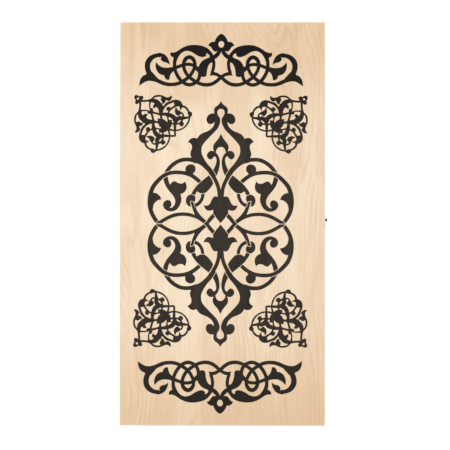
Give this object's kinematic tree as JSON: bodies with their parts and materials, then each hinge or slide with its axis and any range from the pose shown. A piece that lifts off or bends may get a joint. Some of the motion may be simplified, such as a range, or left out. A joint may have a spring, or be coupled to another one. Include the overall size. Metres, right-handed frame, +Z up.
{
  "type": "backgammon set",
  "caption": "Folding wooden backgammon case of two hinged plywood trays with a hook latch, printed arabesque lid, checkers and dice inside.",
  "frame": {"origin": "middle of the lower tray's outside face, which the closed case rests on", "axes": "+X from the hinged wall to the latch wall, +Y along the long side, +Z up through the closed case"},
  "size_m": [0.3121, 0.6, 0.05],
  "materials": {
    "birch_plywood": "clear matt varnish over plain-sliced birch veneer",
    "birch_rail": "sanded solid birch with clear matt varnish",
    "black_steel": "black oxide, satin",
    "light_checker_wood": "turned birch, lacquered",
    "dark_checker_wood": "turned birch, dark brown stain, lacquered",
    "die_body": "polished",
    "black_print": "flat printed ink",
    "brown_print": "flat printed ink"
  },
  "bodies": {
    "lower_tray": {"lower_panel": "birch_plywood", "lower_rail_hinge_side": "birch_rail", "lower_rail_latch_side": "birch_rail", "lower_rail_far_end": "birch_rail", "lower_rail_near_end": "birch_rail", "lower_hinge_screws": "black_steel", "near_hinge_lower_leaf": "black_steel", "far_hinge_lower_leaf": "black_steel", "near_hinge_pin": "black_steel", "far_hinge_pin": "black_steel", "latch_pivot_screw": "black_steel"},
    "upper_tray": {"upper_panel": "birch_plywood", "upper_rail_hinge_side": "birch_rail", "upper_rail_latch_side": "birch_rail", "upper_rail_far_end": "birch_rail", "upper_rail_near_end": "birch_rail", "upper_hinge_screws": "black_steel", "near_hinge_upper_leaf": "black_steel", "far_hinge_upper_leaf": "black_steel", "latch_peg_screw": "black_steel"},
    "latch_hook": {"latch_hook": "black_steel"},
    "light_checker_01": {"light_checker_01": "light_checker_wood"},
    "light_checker_02": {"light_checker_02": "light_checker_wood"},
    "light_checker_03": {"light_checker_03": "light_checker_wood"},
    "light_checker_04": {"light_checker_04": "light_checker_wood"},
    "light_checker_05": {"light_checker_05": "light_checker_wood"},
    "light_checker_06": {"light_checker_06": "light_checker_wood"},
    "light_checker_07": {"light_checker_07": "light_checker_wood"},
    "light_checker_08": {"light_checker_08": "light_checker_wood"},
    "light_checker_09": {"light_checker_09": "light_checker_wood"},
    "light_checker_10": {"light_checker_10": "light_checker_wood"},
    "light_checker_11": {"light_checker_11": "light_checker_wood"},
    "light_checker_12": {"light_checker_12": "light_checker_wood"},
    "light_checker_13": {"light_checker_13": "light_checker_wood"},
    "light_checker_14": {"light_checker_14": "light_checker_wood"},
    "light_checker_15": {"light_checker_15": "light_checker_wood"},
    "dark_checker_01": {"dark_checker_01": "dark_checker_wood"},
    "dark_checker_02": {"dark_checker_02": "dark_checker_wood"},
    "dark_checker_03": {"dark_checker_03": "dark_checker_wood"},
    "dark_checker_04": {"dark_checker_04": "dark_checker_wood"},
    "dark_checker_05": {"dark_checker_05": "dark_checker_wood"},
    "dark_checker_06": {"dark_checker_06": "dark_checker_wood"},
    "dark_checker_07": {"dark_checker_07": "dark_checker_wood"},
    "dark_checker_08": {"dark_checker_08": "dark_checker_wood"},
    "dark_checker_09": {"dark_checker_09": "dark_checker_wood"},
    "dark_checker_10": {"dark_checker_10": "dark_checker_wood"},
    "dark_checker_11": {"dark_checker_11": "dark_checker_wood"},
    "dark_checker_12": {"dark_checker_12": "dark_checker_wood"},
    "dark_checker_13": {"dark_checker_13": "dark_checker_wood"},
    "dark_checker_14": {"dark_checker_14": "dark_checker_wood"},
    "dark_checker_15": {"dark_checker_15": "dark_checker_wood"},
    "die_1": {"die_1": "die_body"},
    "die_2": {"die_2": "die_body"}
  },
  "joints": [
    {"name": "board_fold", "type": "hinge", "parent": "lower_tray", "child": "upper_tray", "pos_m": [-0.15275, 0, 0.025], "axis": [0, -1, 0], "range_deg": [0, 180]},
    {"name": "catch_hook_swing", "type": "hinge", "parent": "lower_tray", "child": "latch_hook", "pos_m": [0.1525, -0.0013, 0.0155], "axis": [1, 0, 0], "range_deg": [-20.49, 115]},
    {"name": "light_checker_01_lift", "type": "slide", "parent": "lower_tray", "child": "light_checker_01", "axis": [0, 0, 1], "range_m": [0, 0.032]},
    {"name": "light_checker_02_lift", "type": "slide", "parent": "lower_tray", "child": "light_checker_02", "axis": [0, 0, 1], "range_m": [0, 0.032]},
    {"name": "light_checker_03_lift", "type": "slide", "parent": "lower_tray", "child": "light_checker_03", "axis": [0, 0, 1], "range_m": [0, 0.032]},
    {"name": "light_checker_04_lift", "type": "slide", "parent": "lower_tray", "child": "light_checker_04", "axis": [0, 0, 1], "range_m": [0, 0.032]},
    {"name": "light_checker_05_lift", "type": "slide", "parent": "lower_tray", "child": "light_checker_05", "axis": [0, 0, 1], "range_m": [0, 0.032]},
    {"name": "light_checker_06_lift", "type": "slide", "parent": "lower_tray", "child": "light_checker_06", "axis": [0, 0, 1], "range_m": [0, 0.032]},
    {"name": "light_checker_07_lift", "type": "slide", "parent": "lower_tray", "child": "light_checker_07", "axis": [0, 0, 1], "range_m": [0, 0.032]},
    {"name": "light_checker_08_lift", "type": "slide", "parent": "lower_tray", "child": "light_checker_08", "axis": [0, 0, 1], "range_m": [0, 0.032]},
    {"name": "light_checker_09_lift", "type": "slide", "parent": "lower_tray", "child": "light_checker_09", "axis": [0, 0, 1], "range_m": [0, 0.032]},
    {"name": "light_checker_10_lift", "type": "slide", "parent": "lower_tray", "child": "light_checker_10", "axis": [0, 0, 1], "range_m": [0, 0.032]},
    {"name": "light_checker_11_lift", "type": "slide", "parent": "lower_tray", "child": "light_checker_11", "axis": [0, 0, 1], "range_m": [0, 0.032]},
    {"name": "light_checker_12_lift", "type": "slide", "parent": "lower_tray", "child": "light_checker_12", "axis": [0, 0, 1], "range_m": [0, 0.032]},
    {"name": "light_checker_13_lift", "type": "slide", "parent": "lower_tray", "child": "light_checker_13", "axis": [0, 0, 1], "range_m": [0, 0.032]},
    {"name": "light_checker_14_lift", "type": "slide", "parent": "lower_tray", "child": "light_checker_14", "axis": [0, 0, 1], "range_m": [0, 0.032]},
    {"name": "light_checker_15_lift", "type": "slide", "parent": "lower_tray", "child": "light_checker_15", "axis": [0, 0, 1], "range_m": [0, 0.032]},
    {"name": "dark_checker_01_lift", "type": "slide", "parent": "lower_tray", "child": "dark_checker_01", "axis": [0, 0, 1], "range_m": [0, 0.032]},
    {"name": "dark_checker_02_lift", "type": "slide", "parent": "lower_tray", "child": "dark_checker_02", "axis": [0, 0, 1], "range_m": [0, 0.032]},
    {"name": "dark_checker_03_lift", "type": "slide", "parent": "lower_tray", "child": "dark_checker_03", "axis": [0, 0, 1], "range_m": [0, 0.032]},
    {"name": "dark_checker_04_lift", "type": "slide", "parent": "lower_tray", "child": "dark_checker_04", "axis": [0, 0, 1], "range_m": [0, 0.032]},
    {"name": "dark_checker_05_lift", "type": "slide", "parent": "lower_tray", "child": "dark_checker_05", "axis": [0, 0, 1], "range_m": [0, 0.032]},
    {"name": "dark_checker_06_lift", "type": "slide", "parent": "lower_tray", "child": "dark_checker_06", "axis": [0, 0, 1], "range_m": [0, 0.032]},
    {"name": "dark_checker_07_lift", "type": "slide", "parent": "lower_tray", "child": "dark_checker_07", "axis": [0, 0, 1], "range_m": [0, 0.032]},
    {"name": "dark_checker_08_lift", "type": "slide", "parent": "lower_tray", "child": "dark_checker_08", "axis": [0, 0, 1], "range_m": [0, 0.032]},
    {"name": "dark_checker_09_lift", "type": "slide", "parent": "lower_tray", "child": "dark_checker_09", "axis": [0, 0, 1], "range_m": [0, 0.032]},
    {"name": "dark_checker_10_lift", "type": "slide", "parent": "lower_tray", "child": "dark_checker_10", "axis": [0, 0, 1], "range_m": [0, 0.032]},
    {"name": "dark_checker_11_lift", "type": "slide", "parent": "lower_tray", "child": "dark_checker_11", "axis": [0, 0, 1], "range_m": [0, 0.032]},
    {"name": "dark_checker_12_lift", "type": "slide", "parent": "lower_tray", "child": "dark_checker_12", "axis": [0, 0, 1], "range_m": [0, 0.032]},
    {"name": "dark_checker_13_lift", "type": "slide", "parent": "lower_tray", "child": "dark_checker_13", "axis": [0, 0, 1], "range_m": [0, 0.032]},
    {"name": "dark_checker_14_lift", "type": "slide", "parent": "lower_tray", "child": "dark_checker_14", "axis": [0, 0, 1], "range_m": [0, 0.032]},
    {"name": "dark_checker_15_lift", "type": "slide", "parent": "lower_tray", "child": "dark_checker_15", "axis": [0, 0, 1], "range_m": [0, 0.032]},
    {"name": "die_1_lift", "type": "slide", "parent": "lower_tray", "child": "die_1", "axis": [0, 0, 1], "range_m": [0, 0.028]},
    {"name": "die_2_lift", "type": "slide", "parent": "lower_tray", "child": "die_2", "axis": [0, 0, 1], "range_m": [0, 0.028]}
  ]
}
